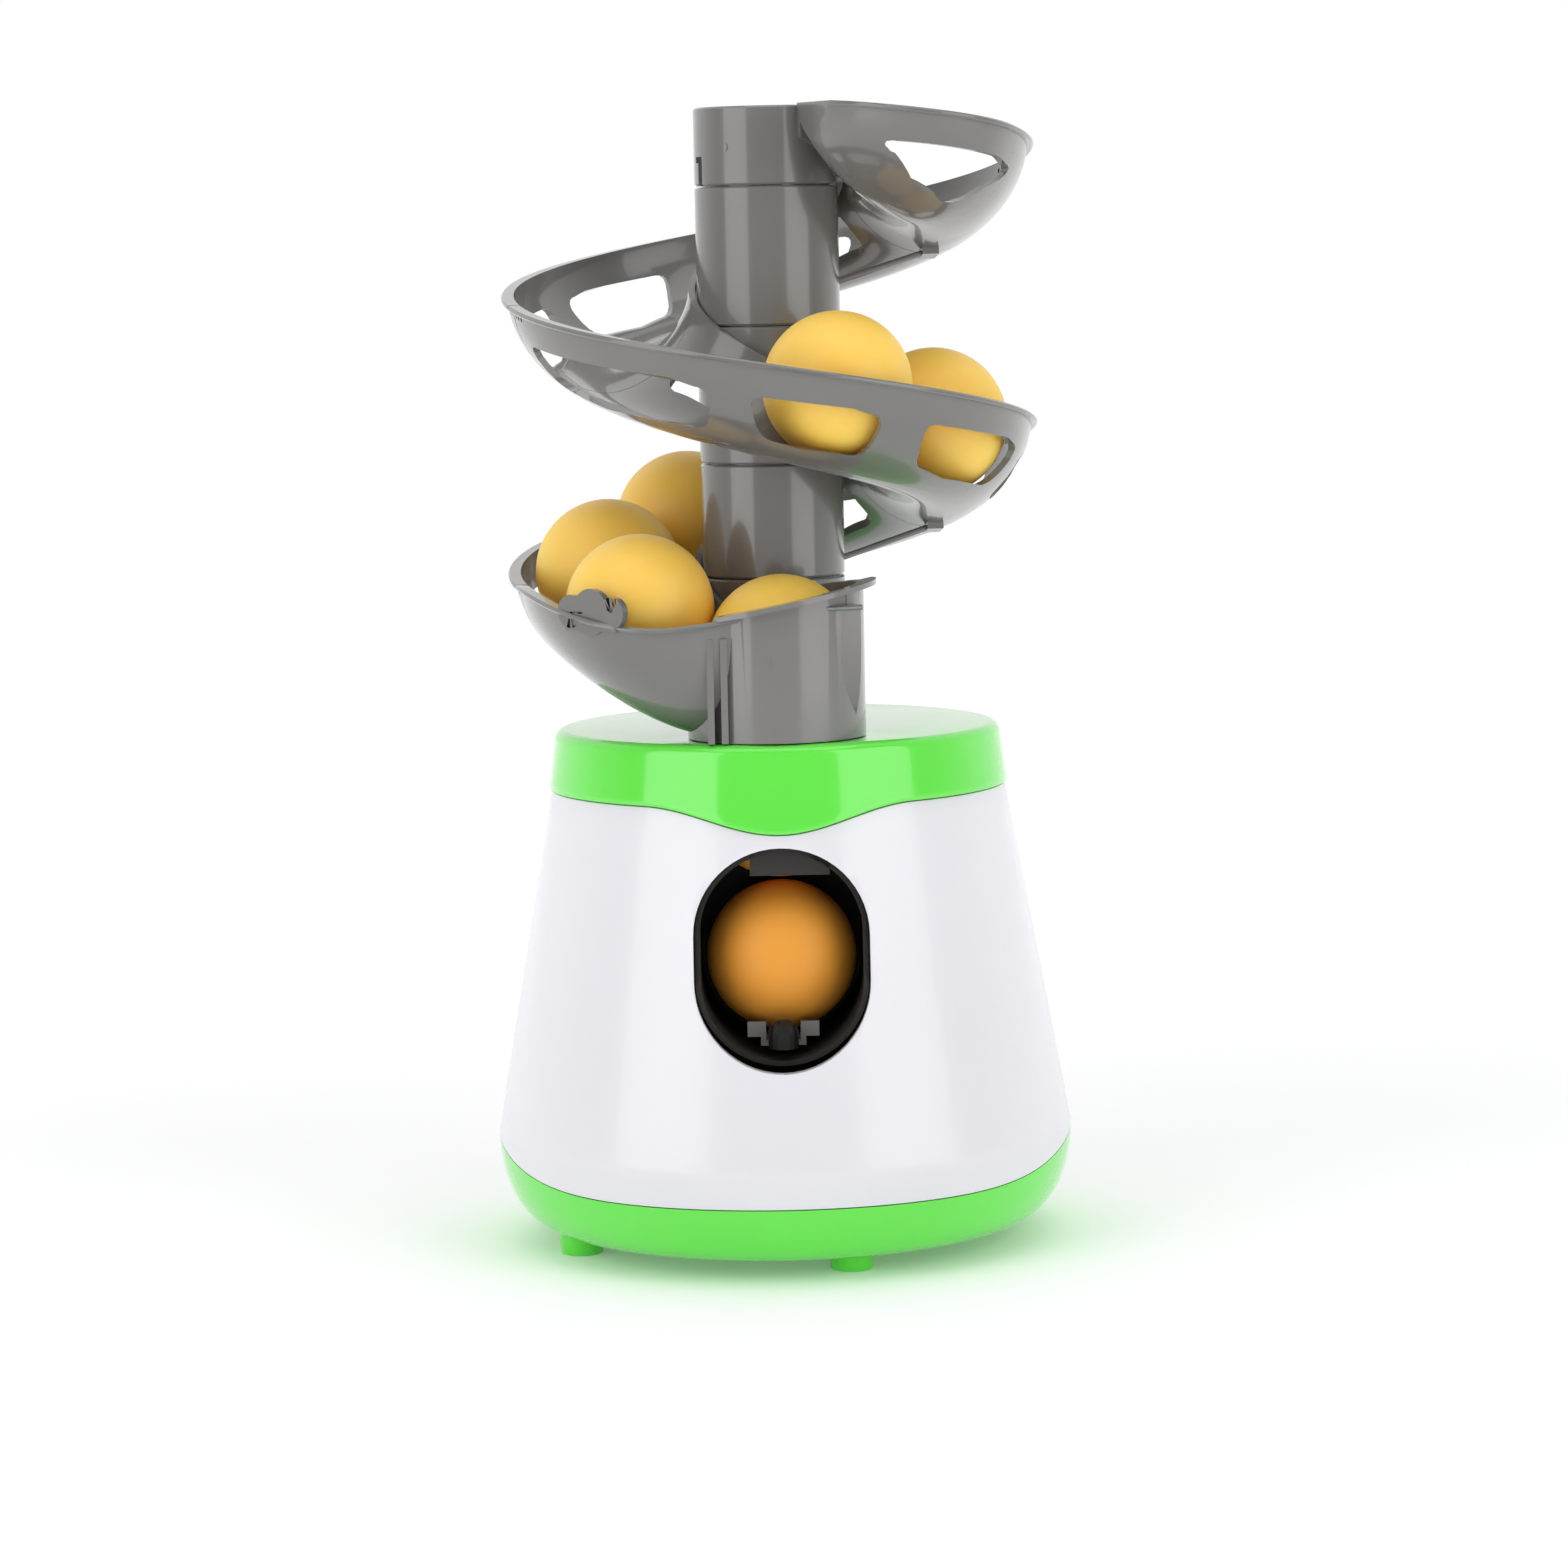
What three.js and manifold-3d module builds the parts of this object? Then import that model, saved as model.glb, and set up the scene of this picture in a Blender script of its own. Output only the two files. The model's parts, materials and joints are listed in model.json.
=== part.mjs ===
// Table-tennis ball launcher: a cone-shaped housing with a launch port, and a spiral ball feed on top.
// Millimetres, +Z up. The origin is on the ground at the centre of the housing, and the port faces -Y.
import * as THREE from 'three';
import { mergeVertices } from 'three/addons/utils/BufferGeometryUtils.js';
import Module from 'manifold-3d';

const wasm = await Module();
wasm.setup();

// ---- driving dimensions -------------------------------------------------
const GAP = 0.3;                 // running gap between touching pieces
const BALL_R = 20;               // table-tennis ball
const FOOT_H = 4.5;
const BODY_R = 78.9;             // widest radius, where the tray's curve meets the cone
const BODY_Z = 31;
const TRAY_FLOOR_R = 61;
const TRAY_CURVE = 2.2;          // exponent of the tray's rounded corner
const TRAY_WALL = 2.2;
const SEAM_Z = 21;               // tray and housing meet here, rising at both sides
const SEAM_RISE = 8.5;
const CONE_SLOPE = 0.178;        // radius lost per millimetre of height
const CONE_WALL = 3.4;
const LIP_STEP = 2;              // the housing steps in under the cap's skirt
const CAP_TOP = 141.5;
const CAP_R = 61.1;              // cap radius just under its top edge
const CAP_SKIRT_R = 62.9;
const CAP_WALL = 1.6;
const SKIRT_Z = 125;             // lower edge of the skirt
const SWOOP_DROP = 7;            // the skirt dips over the port
const SWOOP_HALF = 36;
const PORT_W = 46.5;
const PORT_H = 58.4;
const PORT_Z = 85.5;
const LAUNCH_Z = 83.4;           // height of the ball in the port
const LAUNCH_Y = -40;
const TOWER_Y = 4.8;             // axis of the column and the spiral
const CHUTE_Y = -36;             // axis of the drop chute
const CHUTE_BORE = 22;
const CHUTE_OUT = 23.8;
const CHUTE_RIM_Z = 178.2;       // height of the chute's rim at its axis
const CHUTE_RIM_RISE = 0.19;     // and its rise per millimetre to the right
const CHUTE_FLANGE = 3.4;
const COLUMN_R = 19.5;
const COLUMN_WALL = 2;
const COLUMN_TOP = 309.4;
const COLUMN_SEAMS = [288, 250.3, 213, 182];
const PITCH = 75.3;              // drop of the track in one turn
const RIM_START = 298;           // height of the rim at angle 0
const TRACK_MID_R = 45.6;        // middle of the trough
const TRACK_HALF_W = 25.6;
const TRACK_DEPTH = 26;
const BALL_LIFT = 21.9;          // height of a ball's centre over the bottom of the trough
const TRACK_WALL = 1.8;
const TRACK_SQUARE = 1.1;        // exponent of a trough's section: less is squarer
const RIM_LIP = 1.6;             // how far the rim's lip stands out
const LIP_H = 1.4;
const START_DEG = -64;           // closed upper end of the track
const FULL_DEG = -26;            // the trough has its full width from here
const START_PITCH = 66;          // the gentler drop before angle 0
const STEP_DEG = 15;
const PLATE_Z = 34;              // underside of the chassis plate
const GEAR_MODULE = 1;
const GEAR_TEETH = 30;
const SMALL_TEETH = 10;
const PINION_TEETH = 8;
const DRIVE_AXIS = [8, 62];      // [y, z] of each gear axis
const IDLER_AXIS = [27.2, 55.2];
const MOTOR_AXIS = [44.6, 47];
const TIP_R = 7.5;               // striker's rubber tip
const TIP_BACK = -13.3;

// ---- materials ----------------------------------------------------------
const plastic = (color, roughness = 0.35) => new THREE.MeshStandardMaterial({ color, roughness, metalness: 0 });
const metal = (color) => new THREE.MeshStandardMaterial({ color, roughness: 0.3, metalness: 1 });
const GREEN = 0x62dd4f;
const WHITE = 0xf1eff3;
const GREY = 0x7d7d7b;
const BLACK = 0x191817;
const ORANGE = 0xffa62b;
const STEEL = 0xb9bbbe;

// ---- solids -------------------------------------------------------------
const rad = (deg) => deg * Math.PI / 180;

function solid(geometry) {
  const bare = geometry.clone();
  for (const key of Object.keys(bare.attributes)) {
    if (key !== 'position') bare.deleteAttribute(key);
  }
  const merged = mergeVertices(bare, 1e-4);
  return new wasm.Manifold(new wasm.Mesh({
    numProp: 3,
    vertProperties: new Float32Array(merged.attributes.position.array),
    triVerts: new Uint32Array(merged.index.array),
  }));
}

function piece(name, body, material) {
  const shape = body.getMesh();
  const geometry = new THREE.BufferGeometry();
  geometry.setAttribute('position', new THREE.BufferAttribute(new Float32Array(shape.vertProperties), 3));
  geometry.setIndex(new THREE.BufferAttribute(new Uint32Array(shape.triVerts), 1));
  geometry.computeVertexNormals();
  const mesh = new THREE.Mesh(geometry, material);
  mesh.name = name;
  return mesh;
}

const union = (first, ...rest) => rest.reduce((sum, next) => sum.add(next), first);
const cutAll = (body, cutters) => cutters.reduce((left, next) => left.subtract(next), body);

// A lathed solid about the Z axis. The profile is a list of [radius, z] from the axis up and back to the axis.
function turned(profile, segments = 36) {
  const points = profile.map(([r, z]) => new THREE.Vector2(r, z));
  return solid(new THREE.LatheGeometry(points, segments).rotateX(Math.PI / 2));
}

const disc = (radius, z0, z1, segments = 36) => turned([[0, z0], [radius, z0], [radius, z1], [0, z1]], segments);

function box(x0, x1, y0, y1, z0, z1) {
  const geometry = new THREE.BoxGeometry(x1 - x0, y1 - y0, z1 - z0);
  return solid(geometry.translate((x0 + x1) / 2, (y0 + y1) / 2, (z0 + z1) / 2));
}

// A round bar along one axis, at [a, b] in the other two.
function barX(radius, x0, x1, y, z, segments = 24) {
  return solid(new THREE.CylinderGeometry(radius, radius, x1 - x0, segments)
    .rotateZ(Math.PI / 2).translate((x0 + x1) / 2, y, z));
}
function barY(radius, y0, y1, x, z, segments = 24) {
  return solid(new THREE.CylinderGeometry(radius, radius, y1 - y0, segments).translate(x, (y0 + y1) / 2, z));
}
function barZ(radius, z0, z1, x, y, segments = 24) {
  return solid(new THREE.CylinderGeometry(radius, radius, z1 - z0, segments)
    .rotateX(Math.PI / 2).translate(x, y, (z0 + z1) / 2));
}

// A 2-D outline in X and Z, extruded along Y from y0 to y1.
function alongY(shape, y0, y1, curveSegments = 10) {
  const geometry = new THREE.ExtrudeGeometry(shape, { depth: y1 - y0, bevelEnabled: false, curveSegments });
  return solid(geometry.rotateX(Math.PI / 2).translate(0, y1, 0));
}

// An upright slot with round ends.
function obround(width, height, z) {
  const r = width / 2;
  const half = height / 2 - r;
  const shape = new THREE.Shape();
  shape.absarc(0, z + half, r, 0, Math.PI, false);
  shape.absarc(0, z - half, r, Math.PI, 2 * Math.PI, false);
  shape.closePath();
  return shape;
}

// The region above (or below) a height that varies with x.
function heightCutter(heightAt, far, steps = 20, reach = 90) {
  const shape = new THREE.Shape();
  shape.moveTo(-reach, far);
  for (let i = 0; i <= steps; i += 1) {
    const x = -reach + 2 * reach * i / steps;
    shape.lineTo(x, heightAt(x));
  }
  shape.lineTo(reach, far);
  shape.closePath();
  return shape;
}

// A closed solid swept about Z: sectionAt(deg) gives the same number of [radius, z] points at each angle,
// ordered clockwise when radius points right and z up.
function swept(sectionAt, from, to, stepDeg = STEP_DEG) {
  const steps = Math.max(1, Math.round((to - from) / stepDeg));
  const positions = [];
  const index = [];
  let count = 0;
  for (let i = 0; i <= steps; i += 1) {
    const deg = from + (to - from) * i / steps;
    const section = sectionAt(deg);
    count = section.length;
    for (const [r, z] of section) positions.push(r * Math.cos(rad(deg)), r * Math.sin(rad(deg)), z);
  }
  for (let i = 0; i < steps; i += 1) {
    for (let j = 0; j < count; j += 1) {
      const a = i * count + j;
      const b = i * count + (j + 1) % count;
      index.push(a, b, a + count, b, b + count, a + count);
    }
  }
  const flat = sectionAt(from).map(([r, z]) => new THREE.Vector2(r, z));
  const last = steps * count;
  const turn = THREE.ShapeUtils.area(flat);
  for (const face of THREE.ShapeUtils.triangulateShape(flat, [])) {
    const alike = THREE.ShapeUtils.area(face.map((k) => flat[k])) * turn > 0;
    const [a, b, c] = alike ? face : [face[0], face[2], face[1]];
    index.push(a, c, b, last + a, last + b, last + c);
  }
  const geometry = new THREE.BufferGeometry();
  geometry.setAttribute('position', new THREE.Float32BufferAttribute(positions, 3));
  geometry.setIndex(index);
  const body = solid(geometry);
  if (body.volume() > 0) return body;
  for (let k = 0; k < index.length; k += 3) [index[k], index[k + 1]] = [index[k + 1], index[k]];
  geometry.setIndex(index);
  return solid(geometry);
}

// ---- the spiral track ---------------------------------------------------
const rimZ = (deg) => RIM_START - (deg < 0 ? START_PITCH : PITCH) * deg / 360;

// The trough opens from nothing at its closed upper end to its full size.
function fullness(deg) {
  if (deg >= FULL_DEG) return 1;
  const left = (FULL_DEG - deg) / (FULL_DEG - START_DEG + 3);
  return Math.sqrt(1 - left * left);
}

// A half-pipe section between two radii, from its top down to its floor. A solid one carries the rim's lip,
// and a void reaches up past the top.
function halfPipe(inner, outer, top, floor, square, lift) {
  const mid = (inner + outer) / 2;
  const half = (outer - inner) / 2;
  const lip = lift > 0 ? 0 : RIM_LIP;
  const points = [[outer + lip, top + lift], [inner, top + lift]];
  if (lift > 0) points.push([inner, top]);
  const arc = 6;
  for (let i = 1; i < arc; i += 1) {
    const turn = Math.PI * i / arc;
    const across = Math.sign(Math.cos(turn)) * Math.abs(Math.cos(turn)) ** square;
    points.push([mid - half * across, top - (top - floor) * Math.sin(turn) ** square]);
  }
  points.push([outer, lift > 0 ? top : top - LIP_H]);
  if (lift === 0) points.push([outer + lip, top - LIP_H]);
  return points;
}

// The trough's section at an angle. inset moves its wall inwards.
function trough(deg, inset, lift) {
  const size = fullness(deg);
  const inner = TRACK_MID_R - TRACK_HALF_W;
  const outer = Math.max(inner + 2 * inset + 3, inner + 2 * TRACK_HALF_W * size);
  const floor = rimZ(deg) - Math.max(inset + 3, TRACK_DEPTH * size) + inset;
  return halfPipe(inner + inset, outer - inset, rimZ(deg), floor, TRACK_SQUARE, lift);
}

// A block that follows the track: radii r0 to r1, and heights z0 to z1 relative to the rim.
const follow = (r0, r1, z0, z1) => (deg) => [
  [r1, rimZ(deg) + z1], [r0, rimZ(deg) + z1], [r0, rimZ(deg) + z0], [r1, rimZ(deg) + z0]];

// Openings: the outer wall between rim band and rail, and the inner side of the floor.
const outerWindow = (from, to) => swept(follow(58, 80, -20.6, -9.2), from, to, 30);
const innerWindow = (from, to) => swept(follow(22, 33, -26, -12), from, to, 30);

function columnTube(z0, z1, spigot) {
  const inner = COLUMN_R - COLUMN_WALL;
  const low = z0 + GAP / 2;
  const high = z1 - GAP / 2;
  let tube = disc(COLUMN_R, low, high, 24).subtract(disc(inner, low - 1, high + 1, 24));
  if (spigot) {
    const collar = turned([[0, high - 3], [inner + 0.5, high - 3], [inner + 0.5, high], [inner - GAP, high],
      [inner - GAP, high + 5], [0, high + 5]], 24);
    tube = tube.add(collar.subtract(disc(inner - 1.8, high - 4, high + 6, 24)));
  }
  return tube;
}

// One tower module: its length of column and its stretch of trough.
function trackModule(z0, z1, from, to, outer, inner, closedStart) {
  const low = from + (closedStart ? 0 : 0.2);
  const high = to - 0.2;
  const step = closedStart ? STEP_DEG / 3 : STEP_DEG;
  let shell = swept((deg) => trough(deg, 0, 0), low, high, step);
  const voidFrom = closedStart ? from + 8 : low - 2;
  const closing = closedStart ? TRACK_WALL + 0.4 : TRACK_WALL;
  shell = shell.subtract(swept((deg) => trough(deg, closing, 3), voidFrom, high + 2, step));
  shell = cutAll(shell, outer.map(([a, b]) => outerWindow(a, b)));
  shell = cutAll(shell, inner.map(([a, b]) => innerWindow(a, b)));
  const web = swept(follow(COLUMN_R - 0.6, TRACK_MID_R - TRACK_HALF_W + 1, -9, -1.5), low + 1, high - 1)
    .intersect(disc(40, z0 + GAP, z1 - GAP));
  return union(columnTube(z0, z1, z1 < COLUMN_TOP), web, shell);
}

function towerTop() {
  const [z0] = COLUMN_SEAMS;
  let body = trackModule(z0, COLUMN_TOP, START_DEG, 15, [[-52, -20]], [[-40, -18]], true);
  const cover = disc(COLUMN_R - 0.5, COLUMN_TOP - 2, COLUMN_TOP - GAP / 2, 24);
  return body.add(cover);
}

function ballAt(x, y, z) {
  return solid(new THREE.SphereGeometry(BALL_R, 14, 9).rotateX(Math.PI / 2).translate(x, y, z));
}

// ---- feed cup -----------------------------------------------------------
const CUP_FROM = 555;
const CUP_TO = 652;
const CUP_FRONT_Z = 172.5;
const CUP_SQUARE = 0.62;         // exponent of the cup's section at the chute
const TAB_LOBES = [[-7.6, 4.2], [0, 6.2], [7.2, 4.4]];   // [shift, radius] of the thumb tab's lobes
const TAB_DEG = 229;
const TAB_R = 73.2;
const TAB_Z = 176.8;

// How far round the cup an angle is, 0 at its joint with the track and 1 at the chute.
const cupTurn = (deg) => Math.min(1, Math.max(0, (deg - CUP_FROM) / (CUP_TO - 20 - CUP_FROM)));
const ease = (t) => t * t * (3 - 2 * t);

function cupRimZ(deg) {
  const dip = (rimZ(CUP_FROM) - CUP_FRONT_Z) * ease(Math.min(1, cupTurn(deg) * 1.5));
  const rise = 9 * Math.max(0, cupTurn(deg) - 0.6) ** 1.5 / 0.4 ** 1.5 * 0.55;
  return rimZ(CUP_FROM) - dip + rise;
}
function cupOut(deg) {
  const bulge = 2.9 * Math.sin(Math.PI * Math.min(1, Math.max(0, (deg - CUP_FROM) / 65)));
  const tuck = 10.8 * ease(Math.min(1, Math.max(0, (deg - 588) / 44)));
  return TRACK_MID_R + TRACK_HALF_W + bulge - tuck;
}

const cupSquare = (deg) => TRACK_SQUARE
  - (TRACK_SQUARE - CUP_SQUARE) * ease(Math.min(1, Math.max(0, (deg - 590) / 40)));

function cupSection(deg, inset, lift) {
  const inner = TRACK_MID_R - TRACK_HALF_W + inset;
  const base = rimZ(CUP_FROM) - TRACK_DEPTH;
  const floor = base - (base - CAP_TOP - GAP) * ease(Math.min(1, cupTurn(deg) * 1.35)) + inset;
  return halfPipe(inner, cupOut(deg) - inset, cupRimZ(deg), floor, cupSquare(deg), lift);
}

// Made about the tower's axis, like the track.
function feedCup() {
  const chuteY = CHUTE_Y - TOWER_Y;
  const low = CUP_FROM + 0.2;
  const slanted = (drop) => alongY(heightCutter((x) => CHUTE_RIM_Z - drop + CHUTE_RIM_RISE * x, 300, 2), -90, 90);
  const above = slanted(0);
  const chute = barZ(CHUTE_OUT, CAP_TOP + GAP, 190, 0, chuteY, 28).subtract(above);
  const flange = barZ(CHUTE_OUT + CHUTE_FLANGE, 165, 190, 0, chuteY, 28).intersect(slanted(LIP_H)).subtract(above)
    .subtract(box(-40, 40, chuteY + 8, 40, 0, 400)).subtract(box(-40, -14, -90, 40, 0, 400));
  const bowl = swept((deg) => cupSection(deg, 0, 0), low, CUP_TO);
  let shell = union(bowl, chute, flange);
  shell = shell.subtract(swept((deg) => cupSection(deg, TRACK_WALL, 8), low - 2, CUP_TO - 3));
  shell = shell.subtract(barZ(CHUTE_BORE, CAP_TOP - 1, 200, 0, chuteY, 28));
  const spigot = barZ(CHUTE_OUT - 1.2, CAP_TOP - 2, CAP_TOP + 1, 0, chuteY, 28)
    .subtract(barZ(CHUTE_BORE, 100, 200, 0, chuteY, 28));
  const [, , , stubTop] = COLUMN_SEAMS;
  const stub = columnTube(CAP_TOP + GAP / 2, stubTop, true).subtract(barZ(CHUTE_BORE, 100, 200, 0, chuteY, 28));
  const rib = box(-17.5, -13.5, chuteY - 22.5, chuteY - 17, CAP_TOP + GAP, CUP_FRONT_Z - 3)
    .subtract(barZ(CHUTE_BORE, 100, 200, 0, chuteY, 28));
  const web = box(-COLUMN_R - 4, -COLUMN_R + 1, -8, 8, CAP_TOP + GAP, CAP_TOP + 12);
  const lobe = ([shift, radius]) => barY(radius, -1, 1, shift, 0, 16);
  const tab = union(...TAB_LOBES.map(lobe), box(-9, 9, -1, 1, -5, 0)).rotate([0, 0, TAB_DEG - 90])
    .translate([TAB_R * Math.cos(rad(TAB_DEG)), TAB_R * Math.sin(rad(TAB_DEG)), TAB_Z]);
  return union(shell, stub, web, rib, spigot, tab);
}

// ---- housing ------------------------------------------------------------
// One outline runs from the tray's rounded corner up the cone.
function bodyR(z) {
  if (z > BODY_Z) return BODY_R - CONE_SLOPE * (z - BODY_Z);
  const down = (BODY_Z - z) / (BODY_Z - FOOT_H);
  return TRAY_FLOOR_R + (BODY_R - TRAY_FLOOR_R) * (1 - down ** TRAY_CURVE) ** (1 / TRAY_CURVE);
}

// The body's outline from z0 to z1 with its wall moved inwards, closed on the axis.
function bodyOutline(z0, z1, inset) {
  const bend = [0, 0.04, 0.14, 0.3, 0.5, 0.75, 1].map((t) => FOOT_H + (BODY_Z - FOOT_H) * t);
  const heights = [z0, ...bend.filter((z) => z > z0 + 0.5 && z < z1 - 0.5), z1];
  return [[0, z0], ...heights.map((z) => [bodyR(Math.max(z, FOOT_H)) - inset, z]), [0, z1]];
}

const seamAt = (x) => SEAM_Z + SEAM_RISE * Math.min(1, Math.abs(x / BODY_R)) ** 8;
function swoopAt(x) {
  const t = Math.min(1, Math.abs(x) / SWOOP_HALF);
  return SKIRT_Z - SWOOP_DROP * (0.5 + 0.5 * Math.cos(Math.PI * t));
}

function coneHousing() {
  const top = CAP_TOP - CAP_WALL - GAP - 1;
  const shell = (step) => turned(bodyOutline(12, top, step)).subtract(turned(bodyOutline(11, top + 1, CONE_WALL)));
  const above = alongY(heightCutter((x) => swoopAt(x) - GAP / 2, 200), -90, 20);
  const aboveBack = box(-90, 90, 19.9, 90, SKIRT_Z - GAP / 2, 200);
  let body = shell(0).subtract(above).subtract(aboveBack).add(shell(LIP_STEP));
  body = body.subtract(alongY(heightCutter((x) => seamAt(x) + GAP / 2, 0), -90, 90));
  body = body.subtract(alongY(obround(PORT_W, PORT_H, PORT_Z), -90, -20));
  return body.subtract(box(-9.3, 9.3, 40, 90, 45.7, 54.3));
}

function topCap() {
  const skin = (inset) => [
    [0, 90], [CAP_SKIRT_R + CONE_SLOPE * (SKIRT_Z - 90) - inset, 90], [CAP_SKIRT_R - inset, SKIRT_Z],
    [CAP_R - inset, CAP_TOP - 3 - inset], [CAP_R - 0.8 - inset, CAP_TOP - 0.9 - inset],
    [CAP_R - 3 - inset, CAP_TOP - inset], [0, CAP_TOP - inset]];
  let body = turned(skin(0)).subtract(turned(skin(CAP_WALL)));
  body = body.subtract(alongY(heightCutter((x) => swoopAt(x) + GAP / 2, 0), -90, 20));
  body = body.subtract(box(-90, 90, 19.9, 90, 0, SKIRT_Z + GAP / 2));
  body = body.subtract(barZ(CHUTE_OUT - 0.9, 100, 160, 0, CHUTE_Y, 28));
  return body.subtract(barZ(11, 100, 160, 0, TOWER_Y));
}

const FEET = [[-56, -24], [17, -52], [63, 32], [-17, 56]];
const DOOR = { x: 33, y0: -22, y1: 40 };

function baseTray() {
  let body = turned(bodyOutline(FOOT_H, 40, 0)).subtract(turned(bodyOutline(FOOT_H + TRAY_WALL, 41, TRAY_WALL)));
  body = body.subtract(alongY(heightCutter((x) => seamAt(x) - GAP / 2, 60), -90, 90));
  for (const deg of [45, 135, 225, 315]) {
    const lug = box(BODY_R - CONE_WALL - 4.6, BODY_R - CONE_WALL - 1.6, -6, 6, 14, 24).rotate([0, 0, deg]);
    body = body.add(lug);
  }
  const floor = FOOT_H + TRAY_WALL;
  const cellBox = box(-33.5, 33.5, -21.5, 38.5, FOOT_H + 1, floor + 16)
    .subtract(box(-31.5, 31.5, -19.5, 36.5, FOOT_H, floor + 17));
  body = body.add(cellBox);
  for (const x of [-40, 40]) {
    for (const y of [-26, 26]) body = body.add(barZ(4, FOOT_H + 1, PLATE_Z - GAP, x, y, 12));
  }
  for (const [x, y] of FEET) {
    body = body.add(solid(new THREE.CylinderGeometry(6.4, 5.8, FOOT_H + 4, 16).rotateX(Math.PI / 2)
      .translate(x, y, (FOOT_H + 4) / 2)));
  }
  return body.subtract(box(-DOOR.x + 4, DOOR.x - 4, DOOR.y0 + 5, DOOR.y1 - 5.5, 0, floor + 1));
}

// ---- gears --------------------------------------------------------------
// A spur gear about the X axis. phase turns it, in degrees; keep gives how many of its teeth are cut.
function gear(teeth, x0, x1, [y, z], phase, keep = teeth) {
  const pitch = teeth * GEAR_MODULE / 2;
  const tip = pitch + 0.8 * GEAR_MODULE;
  const root = pitch - 1.15 * GEAR_MODULE;
  const shape = new THREE.Shape();
  for (let i = 0; i < teeth; i += 1) {
    const radius = i < keep ? tip : root;
    const at = (part, r) => [
      r * Math.cos(rad(phase + (i + part) * 360 / teeth)), r * Math.sin(rad(phase + (i + part) * 360 / teeth))];
    const corners = [at(-0.3, root), at(-0.12, radius), at(0.12, radius), at(0.3, root)];
    corners.forEach(([a, b], k) => (i + k === 0 ? shape.moveTo(a, b) : shape.lineTo(a, b)));
  }
  shape.closePath();
  const geometry = new THREE.ExtrudeGeometry(shape, { depth: x1 - x0, bevelEnabled: false });
  // outline (a, b, depth) becomes (x, y, z) = (depth, a, b)
  geometry.applyMatrix4(new THREE.Matrix4().set(0, 0, 1, x0, 1, 0, 0, y, 0, 1, 0, z, 0, 0, 0, 1));
  return solid(geometry);
}

const angleTo = ([y0, z0], [y1, z1]) => Math.atan2(z1 - z0, y1 - y0) * 180 / Math.PI;
const meshPhase = (teeth, towards) => towards + 180 + 180 / teeth;
const bore = (axis) => barX(1.8, -30, 30, ...axis, 12);
const axle = (axis) => barX(1.5, -18.6, 18.6, ...axis, 12);

function driveGear() {
  const towards = angleTo(DRIVE_AXIS, IDLER_AXIS);
  const wheel = gear(GEAR_TEETH, 4.6, 8.4, DRIVE_AXIS, towards);
  const sector = gear(24, -3, 3, DRIVE_AXIS, 180, 9);
  return union(wheel, sector, barX(4, -13.5, 9.2, ...DRIVE_AXIS, 16)).subtract(bore(DRIVE_AXIS));
}

function idlerGear() {
  const small = gear(SMALL_TEETH, 4.6, 8.4, IDLER_AXIS, meshPhase(SMALL_TEETH, angleTo(DRIVE_AXIS, IDLER_AXIS)));
  const large = gear(GEAR_TEETH, 9.8, 12.6, IDLER_AXIS, angleTo(IDLER_AXIS, MOTOR_AXIS));
  const hub = barX(3.4, -13.5, 12.6, ...IDLER_AXIS, 16);
  return union(small, large, hub).subtract(bore(IDLER_AXIS));
}

function motorPinion() {
  const towards = angleTo(IDLER_AXIS, MOTOR_AXIS);
  const teeth = gear(PINION_TEETH, 9.8, 12.6, MOTOR_AXIS, meshPhase(PINION_TEETH, towards));
  return teeth.add(barX(1, 5.4, 13.2, ...MOTOR_AXIS, 12));
}

// ---- chassis and launch parts -------------------------------------------
function chassis() {
  const floor = PLATE_Z + 2;
  const plate = box(-42, 42, -32, 58, PLATE_Z, floor);
  const cheek = (x0, x1) => box(x0, x1, -10, 58, PLATE_Z + 1, 72);
  const front = box(-18, 18, -10.5, -8.5, PLATE_Z + 1, LAUNCH_Z + 8);
  const back = box(-18, 18, 56, 58, PLATE_Z + 1, LAUNCH_Z + 8);
  let body = union(plate, cheek(-18, -16), cheek(16, 18), front, back);
  body = body.subtract(barY(4 + GAP, -5, 70, 0, LAUNCH_Z, 16));
  body = body.subtract(barY(TIP_R + 0.8, -20, 0, 0, LAUNCH_Z));
  body = cutAll(body, [bore(DRIVE_AXIS), bore(IDLER_AXIS)]);
  const saddle = box(-15, 8, 40, 50, floor - 1, floor + 5).subtract(barX(10 + GAP, -30, 30, ...MOTOR_AXIS, 32));
  return body.add(saddle);
}

function launchSleeve() {
  const back = -12;
  const front = -62;
  const outer = alongY(obround(PORT_W - 0.6, PORT_H - 0.6, PORT_Z), front, back);
  const tunnel = alongY(obround(PORT_W - 3.4, PORT_H - 3.4, PORT_Z), front - 5, back - 2);
  const chute = barZ(CHUTE_OUT - 0.9 - GAP - 0.4, PORT_Z, CAP_TOP - 5, 0, CHUTE_Y, 28);
  const drop = barZ(CHUTE_BORE - 0.8, PORT_Z, 200, 0, CHUTE_Y, 28);
  let body = outer.add(chute.intersect(box(-50, 50, -90, 90, PORT_Z + 12, 200)));
  body = cutAll(body, [tunnel, drop, barY(8.5, -20, 0, 0, LAUNCH_Z, 24)]);
  const stop = box(-8, 13, -59.6, -56.8, 107, 116);
  const foot = box(-12, 12, -20, -14, PLATE_Z + 2 + GAP, PORT_Z - PORT_H / 2 + 1);
  const housing = turned(bodyOutline(40, 140, CONE_WALL + 1));
  return union(body, stop, foot).intersect(housing);
}

const CRADLE_AXIS = [-24, 61.6];

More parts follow.
